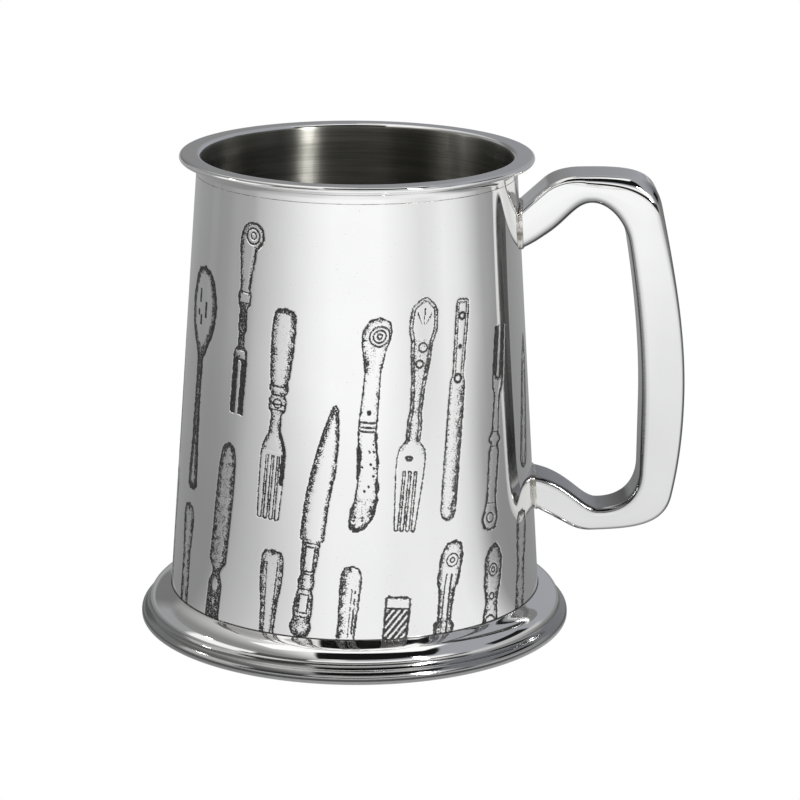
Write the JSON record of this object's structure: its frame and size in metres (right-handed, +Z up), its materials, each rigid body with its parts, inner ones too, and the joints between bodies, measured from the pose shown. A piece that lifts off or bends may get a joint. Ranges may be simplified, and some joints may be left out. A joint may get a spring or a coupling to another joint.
{
  "type": "pewter tankard",
  "caption": "Tapered pewter tankard with a rolled lip, a wide moulded foot, a flat D handle and a polished wall etched with old cutlery.",
  "frame": {"origin": "on the cup's axis, at the plane the foot rests on", "axes": "+Z up along the cup's axis, +X towards the handle, +Y to the far side when the handle is on the right"},
  "size_m": [0.1372, 0.1092, 0.12],
  "materials": {
    "etched_pewter": "mirror-polished pewter sheet with shallow blackened etching outside and a brushed satin inside",
    "polished_pewter": "hand-polished pewter",
    "satin_pewter": "satin pewter with fine turning lines",
    "soft_solder": "soft solder, polished over with the metal round it"
  },
  "bodies": {
    "root": {"body_wall": "etched_pewter", "side_seam": "soft_solder", "rim_ring": "satin_pewter", "rim_solder": "soft_solder", "foot_ring": "polished_pewter", "foot_solder": "soft_solder", "bottom_disc": "satin_pewter", "bottom_solder": "soft_solder", "handle": "polished_pewter", "handle_upper_solder": "soft_solder", "handle_lower_solder": "soft_solder"}
  },
  "joints": []
}
